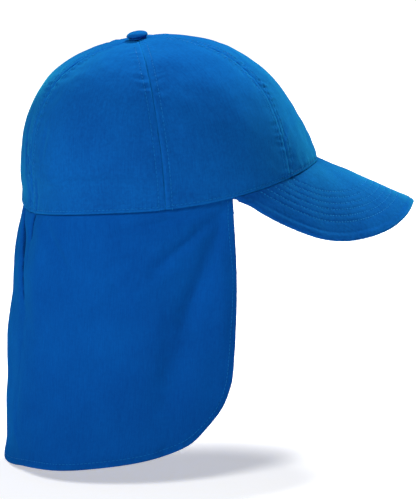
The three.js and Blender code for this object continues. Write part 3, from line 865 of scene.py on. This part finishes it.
# The peak's cotton is painted darker than the crown's: painted shade that offsets the light the upturned
# peak catches from the top lamp.
peak_cloth = dyed_cotton("peak_cotton_painted_darker", (0.004, 0.092, 0.43), (0.002, 0.044, 0.25), 0.42, 0.8)
peak_thread = thread("peak_thread", (0.010, 0.22, 0.58))
peak = cloth_piece("peak_cloth", outer, inner, weave_map, wear_and_shade, peak_cloth)
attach(peak, "root")
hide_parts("peak")

open_cloth = np.where(to_tab > 3.5 * mm, to_edge, np.nan)
over, under = outward(outer), outward(inner)
peak_rows = [surface_line(outer + over * QUILT_THREAD_LIFT, open_cloth, level) for level in row_levels]
peak_rows += [surface_line(inner - under * QUILT_THREAD_LIFT, open_cloth, level) for level in row_levels]
peak_values = {"Pitch": 2.5 * mm, "Gap": 0.9 * mm, "Thread Width": 0.42 * mm, "Thread": peak_thread}
stitch("peak_stitching", peak_rows, "peak_cloth", Seed=5, **peak_values)

# Neck flap
# One sheet of the same cotton, sewn up inside the crown from temple to temple round the
# back. It hangs in soft folds, and a narrow double hem runs down its sides and round it.
FLAP_WALL = 1.2 * mm
FLAP_HEM = 181 * mm
FLAP_TUCK = 8 * mm
FLAP_START = 82.6
FLAP_FLARE = 15.5 * mm
FLARE_CURVE = 0.62
SIDE_CROWDING = 1.15
FRONT_BOW = 3 * mm
FRONT_BOW_WIDTH = 9
FRONT_BOW_SHARE = 0.8
FRONT_BOW_POWER = 1.3
HEM_DIP = 5.5 * mm
HEM_DIP_HEADING = -166
HEM_DIP_WIDTH = 18
FOLD_DEPTH = 5 * mm
HEM_WIDTH = 5.2 * mm
HEM_STITCH = 4.3 * mm
HEM_RELIEF = 0.30 * mm
HEM_PULL = 0.28 * mm
HEM_WAVE_PITCH = 7.5 * mm
HEM_WAVE_DEPTH = 0.14 * mm
HEM_INSIDE = 0.4 * mm
HEM_THREAD_LIFT = 0.08 * mm
FLAP_LUMPS = 0.55 * mm
FLAP_CRUMPLE = 0.16 * mm
CREASED_HEADING = -175
CREASED_WIDTH = 9

# Level of the hem and stand-off by heading, as shares of the sizes above
FLAP_STATIONS = {
    "heading": [82.6, 83.4, 85, 88, 92, 99, 106, 118, 134, 152, 165, 180],
    "level": [0.49, 0.62, 0.69, 0.755, 0.802, 0.86, 0.89, 0.92, 0.945, 0.968, 0.975, 0.98],
    "flare": [0, 0, 0, 0, 0, 0.05, 0.12, 0.25, 0.5, 0.85, 1.0, 1.0],
}

# Folds: heading at the top and bottom, where each runs as shares of the hang, half
# width in degrees, and depth as a share of FOLD_DEPTH
FLAP_FOLDS = [
    (-166, -181, -0.06, 0.44, 4, -0.35),
    (-152, -166, -0.1, 0.9, 8, 0.3),
    (-179.5, -177.5, -0.08, 0.16, 3.5, -0.35),
    (-92, -120, 0.02, 1.0, 8, -0.8),
    (-110, -136, 0.1, 1.2, 9, 0.5),
    (-150, -132, 0.0, 0.6, 7, -0.6),
]

# Creases pressed into the cloth, with the same columns as the folds, too fine for the
# solid
FLAP_CREASES = [
    (-153, -178, -0.36, 0.38, 1.5, -1.0),
    (176, -178, -0.12, 0.12, 1.1, -0.9),
    (158, 151, -0.05, 0.16, 2.0, -0.12),
    (146, 150, -0.05, 0.14, 1.8, -0.10),
    (-158, -150, -0.05, 0.2, 2.0, -0.14),
    (-142, -146, -0.05, 0.14, 1.8, -0.10),
    (86, 92, 0.0, 0.4, 1.8, -0.12),
    (-86, -92, 0.0, 0.4, 1.8, -0.12),
]

# Pulls: soft valleys and ridges that fan out from where the cloth is held, each with
# the heading and drop (mm) where it starts and ends, half width and depth (mm)
FLAP_PULLS = [
    (94, 4, 133, 13, 3.5, -2.0),
    (98, 15, 140, 30, 5.0, 1.4),
    (87, 8, 118, 41, 4.5, -2.6),
    (103, 36, 126, 56, 6.5, 1.5),
    (86, 8, 103, 80, 7.0, -3.0),
    (96, 42, 112, 132, 13.0, -4.6),
    (87, 34, 88, 104, 5.0, 1.4),
    (169, 5, 146, 49, 4.2, -2.6),
    (171, 8, 168, 80, 9.0, 2.0),
    (156, 78, 132, 46, 8.0, 1.6),
    (179, 148, 136, 96, 10.0, -2.4),
    (172, 168, 108, 152, 9.0, 1.8),
    (-94, 5, -130, 15, 4.0, -1.4),
    (-90, 12, -118, 46, 5.5, -2.0),
    (-98, 18, -134, 34, 6.0, 1.3),
    (-88, 14, -106, 90, 9.0, -2.8),
    (-150, 150, -118, 104, 10.0, -2.0),
    (-140, 60, -110, 120, 12.0, 1.8),
]


def folds(table, heading, down):
    depth = np.zeros(heading.shape)
    for high, low, start, end, width, deep in table:
        t = np.clip((down - start) / (end - start), 0, 1)
        off = turn(heading, high + turn(low, high) * t)
        depth += FOLD_DEPTH * deep * np.sin(np.pi * t) ** 0.8 * bump(off, 0, width)
    return depth


close = np.array([0, 0.0008, 0.0025, 0.005, 0.009, 0.014, 0.02])
even = np.linspace(-1, 1, 2001)
near_heading = np.where(even < 0, -180, 180) - (180 - FLAP_START) * even
crowded = np.cumsum(1 + 2.2 * bump(turn(near_heading, CREASED_HEADING), 0, CREASED_WIDTH))
columns = np.interp(np.linspace(crowded[0], crowded[-1], 280), crowded, even)[3:-3]
side_share = np.concatenate([-1 + close, columns, 1 - close[::-1]])
around = FLAP_START + (180 - FLAP_START) * (1 - np.abs(side_share)) ** SIDE_CROWDING
heading = np.where(side_share < 0, -around, around)
climb = rim_climb(heading)
inside = -CROWN_WALL - TUCK_GAP
top = crown_point(heading, climb, inside)
away = top * [1, 1, 0]
away /= np.linalg.norm(away, axis=-1, keepdims=True)
hem = FLAP_HEM * follow(FLAP_STATIONS, "heading", "level", around)
hem = hem + HEM_DIP * bump(turn(heading, HEM_DIP_HEADING), 0, HEM_DIP_WIDTH)
hem_steps = np.array([0, 0.0006, 0.002, 0.0045, 0.008, 0.013])
down = np.concatenate([1 - hem_steps, np.linspace(0.98, 0, 122)])[:, None]
grid_heading = np.broadcast_to(heading, (len(down), len(heading)))
grid_down = np.broadcast_to(down, grid_heading.shape)
free = fade(grid_down, 0, 0.12)
stand = FLAP_FLARE * follow(FLAP_STATIONS, "heading", "flare", around) * down ** FLARE_CURVE
drop = (hem + 0.5 * mm + top[:, 2]) * down
stand = stand + folds(FLAP_FOLDS, grid_heading, grid_down) * free
stand = stand + creases(FLAP_PULLS, grid_heading, drop) * fade(drop, 0, 10 * mm)
pressed = folds(FLAP_CREASES, grid_heading, grid_down) * fade(grid_down, 0, 0.03)
hang = top + away * (stand + pressed)[..., None]
hang[..., 2] = top[:, 2] - drop
bowed = np.sin(np.pi * FRONT_BOW_SHARE * down ** FRONT_BOW_POWER) ** 0.7
hang[..., 1] -= FRONT_BOW * bump(around, FLAP_START, FRONT_BOW_WIDTH) * bowed
tuck_climb = math.degrees(FLAP_TUCK / CROWN_HEIGHT)
tuck_steps = (0.2, 0.45, 0.7, 0.88, 0.97, 1.0)
tucked = [crown_point(heading, climb + tuck_climb * step, inside) for step in tuck_steps]
base = np.concatenate([hang, np.array(tucked)])
normal = outward(base)
border = np.concatenate([base[::-1, 0], base[0], base[:, -1]])
to_border = reach_to(base, finely(border, 0.4 * mm))
to_border[0] = 0
to_border[:, 0] = to_border[:, -1] = 0
to_top = reach_to(base, finely(base[-1], 0.5 * mm))
to_top[-1] = 0
cloth_gap = np.minimum(to_border, to_top)
across = run(base, 1)
hem_wave = waves(across, HEM_WAVE_PITCH, 2.6 * unevenness(base, 40 * mm, 81))
relief = HEM_RELIEF * (1 - fade(to_border, HEM_WIDTH - 0.4 * mm, HEM_WIDTH + 0.5 * mm))
relief -= HEM_PULL * bump(to_border, HEM_STITCH, 0.7 * mm)
relief += HEM_WAVE_DEPTH * hem_wave * bump(to_border, HEM_STITCH, 2.6 * mm)
relief += FLAP_LUMPS * unevenness(base, 46 * mm, 82) * fade(to_top, 10 * mm, 30 * mm)
relief += FLAP_CRUMPLE * unevenness(base, 15 * mm, 83) * fade(to_top, 10 * mm, 18 * mm)
settled = fade(cloth_gap, 0.1 * mm, 1.2 * mm)
middle_wall = base - normal * (0.5 * FLAP_WALL)
half = rounded(cloth_gap, FLAP_WALL)
outer = middle_wall + normal * (half + relief * settled)[..., None]
doubled = HEM_INSIDE * (1 - fade(to_border, HEM_WIDTH, HEM_WIDTH + 0.5 * mm))
inner = middle_wall - normal * (half - (relief - doubled) * settled)[..., None]
weave_map = np.stack([across - across[:, [base.shape[1] // 2]], base[..., 2]], -1)
wear_and_shade = np.clip(bump(to_border, 0.3 * mm, 1.1 * mm), 0, 1)
# Painted shade: the flap's deep pressed creases are painted darker, below zero in this value.
wear_and_shade[:len(pressed)] -= painted_crease_shade(pressed)
flap_cloth = dyed_cotton("flap_cotton", (0.003, 0.112, 0.46), (0.002, 0.055, 0.28), 0.1, 0.3)
flap = cloth_piece("neck_flap_cloth", outer, inner, weave_map, wear_and_shade, flap_cloth)
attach(flap, "root")
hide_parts("neck_flap")

hem_path = np.where(to_top > FLAP_TUCK + 1.5 * mm, to_border, np.nan)
over, under = outward(outer), outward(inner)
hem_rows = [surface_line(outer + over * HEM_THREAD_LIFT, hem_path, HEM_STITCH)]
hem_rows.append(surface_line(inner - under * HEM_THREAD_LIFT, hem_path, HEM_STITCH))
hem_values = {"Pitch": 2.6 * mm, "Thread Width": 0.45 * mm}
hem_stitches = stitch("neck_flap_hem_stitching", hem_rows, "flap_cloth", Seed=6, **hem_values)

# Floor, lights and camera
# A plain pale floor under the hem, which the camera sees bright and which lights
# nothing. Two broad soft lamps, and the photograph's viewpoint.
FLOOR_DROP = 3 * mm
FLOOR_HALF = 14
LAMP_AIM = np.array([0, 0, -0.03])
VIEW_DISTANCE = 2.0
LENS = 218.6
AIM_LEVEL = -16.3 * mm
AIM_RIGHT = 24.5 * mm
AIM_BELOW = 29.4 * mm

floor_level = cad_box[0][2] - FLOOR_DROP
mesh = bpy.data.meshes.new("floor")
corners = [(-1, -1), (1, -1), (1, 1), (-1, 1)]
mesh.from_pydata([(x * FLOOR_HALF, y * FLOOR_HALF, floor_level) for x, y in corners], [], [(0, 1, 2, 3)])
pale = bpy.data.materials.new("pale_floor")
pale.use_nodes = True
tree = pale.node_tree
shader = tree.nodes["Principled BSDF"]
shader.inputs["Roughness"].default_value = 0.9
shader.inputs["Specular IOR Level"].default_value = 0.0
seen = part_of(tree, "ShaderNodeLightPath").outputs["Is Camera Ray"]
tree.links.new(seen, shader.inputs["Emission Strength"])
place = part_of(tree, "ShaderNodeTexCoord").outputs["Object"]
reach = part_of(tree, "ShaderNodeVectorMath", operation="LENGTH")
tree.links.new(place, reach.inputs[0])
glow = part_of(tree, "ShaderNodeMapRange", From_Min=0.5, From_Max=3.5, To_Min=0.5, To_Max=1.0)
tree.links.new(reach.outputs["Value"], glow.inputs["Value"])
tree.links.new(glow.outputs["Result"], shader.inputs["Emission Color"])
grain = part_of(tree, "ShaderNodeTexNoise", Scale=3.0, Detail=2.0)
tree.links.new(place, grain.inputs["Vector"])
tones = part_of(tree, "ShaderNodeValToRGB")
tones.color_ramp.elements[0].color = (0.90, 0.90, 0.90, 1)
tones.color_ramp.elements[1].color = (0.93, 0.93, 0.93, 1)
tree.links.new(grain.outputs["Fac"], tones.inputs["Fac"])
tree.links.new(tones.outputs["Color"], shader.inputs["Base Color"])
mesh.materials.append(pale)
floor = bpy.data.objects.new("floor", mesh)
bpy.context.scene.collection.objects.link(floor)

SWING = math.radians(25)
LIFT = math.radians(10)
right = np.array([-math.sin(SWING), -math.cos(SWING), 0])
back = np.array([-math.cos(SWING) * math.cos(LIFT), math.sin(SWING) * math.cos(LIFT), math.sin(LIFT)])
upward = np.cross(back, right)


def lamp(name, place, power, size):
    data = bpy.data.lights.new(name, "AREA")
    data.energy = power
    data.shape = "DISK"
    data.size = size
    light = bpy.data.objects.new(name, data)
    bpy.context.scene.collection.objects.link(light)
    direction = LAMP_AIM - place
    light.location = place
    light.rotation_mode = "QUATERNION"
    light.rotation_quaternion = Vector(direction).to_track_quat("-Z", "Y")


sky = np.array([0, 0, 1.0])
lamp("top_lamp", 0.5 * right + 1.65 * sky - 0.9 * back, power=53, size=0.7)
lamp("side_lamp", -1.1 * right + 1.2 * sky + 1.7 * back, power=42, size=0.9)

world = bpy.data.worlds.new("studio")
bpy.context.scene.world = world
world.use_nodes = True
world.node_tree.nodes["Background"].inputs["Color"].default_value = (1, 1, 1, 1)
world.node_tree.nodes["Background"].inputs["Strength"].default_value = 0.05
bpy.context.scene.view_settings.view_transform = "Standard"

data = bpy.data.cameras.new("camera")
data.sensor_width = 36
data.lens = LENS
camera = bpy.data.objects.new("camera", data)
bpy.context.scene.collection.objects.link(camera)
aim = np.array([0, 0, AIM_LEVEL]) + right * AIM_RIGHT - upward * AIM_BELOW
camera.location = aim + back * VIEW_DISTANCE
camera.rotation_mode = "QUATERNION"
camera.rotation_quaternion = Vector(-back).to_track_quat("-Z", "Y")
bpy.context.scene.camera = camera
